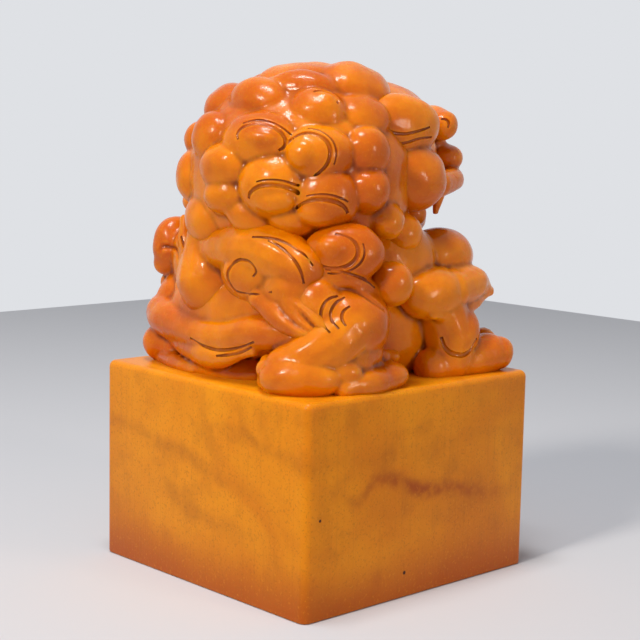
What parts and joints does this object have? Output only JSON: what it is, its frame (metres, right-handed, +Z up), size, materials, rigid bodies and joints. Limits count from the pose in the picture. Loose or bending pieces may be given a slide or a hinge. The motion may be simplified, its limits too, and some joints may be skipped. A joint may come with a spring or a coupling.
{
  "type": "carved stone seal stamp",
  "caption": "Square stone seal with a crouching guardian lion carved as its grip, snail-curled mane, sweeping tail, and a flat blank seal face below.",
  "frame": {"origin": "centre of the square seal face, which is also the bottom centre of the bounding box", "axes": "+Z up from the seal face through the block to the lion's crown; -Y the way the lion faces; -X its right side"},
  "size_m": [0.035, 0.035, 0.0583],
  "materials": {
    "block_stone": "honey-amber soapstone, hand sanded and lightly waxed, faint darker bands and one wavy brown vein",
    "lion_stone": "honey-orange soapstone, waxed to a wet-looking polish, redder where it is thin or deeply cut"
  },
  "bodies": {
    "root": {"seal_block": "block_stone", "right_eye": "lion_stone", "left_eye": "lion_stone", "nose": "lion_stone", "right_brow": "lion_stone", "left_brow": "lion_stone", "right_cheek": "lion_stone", "left_cheek": "lion_stone", "right_ear": "lion_stone", "left_ear": "lion_stone", "upper_jaw": "lion_stone", "tongue": "lion_stone", "lower_jaw": "lion_stone", "face": "lion_stone", "mane_crown": "lion_stone", "mane_ruff": "lion_stone", "mane_nape": "lion_stone", "beard": "lion_stone", "tail_scroll": "lion_stone", "tail_root": "lion_stone", "tail_plume": "lion_stone", "right_hip_curl": "lion_stone", "left_hip_curl": "lion_stone", "right_hind_foot": "lion_stone", "left_hind_foot": "lion_stone", "right_haunch": "lion_stone", "left_haunch": "lion_stone", "right_fore_paw": "lion_stone", "left_fore_paw": "lion_stone", "right_foreleg": "lion_stone", "left_foreleg": "lion_stone", "right_elbow_curl": "lion_stone", "left_elbow_curl": "lion_stone", "right_forearm_fringe": "lion_stone", "left_forearm_fringe": "lion_stone", "right_chest_lobe": "lion_stone", "left_chest_lobe": "lion_stone", "trunk": "lion_stone"}
  },
  "joints": []
}
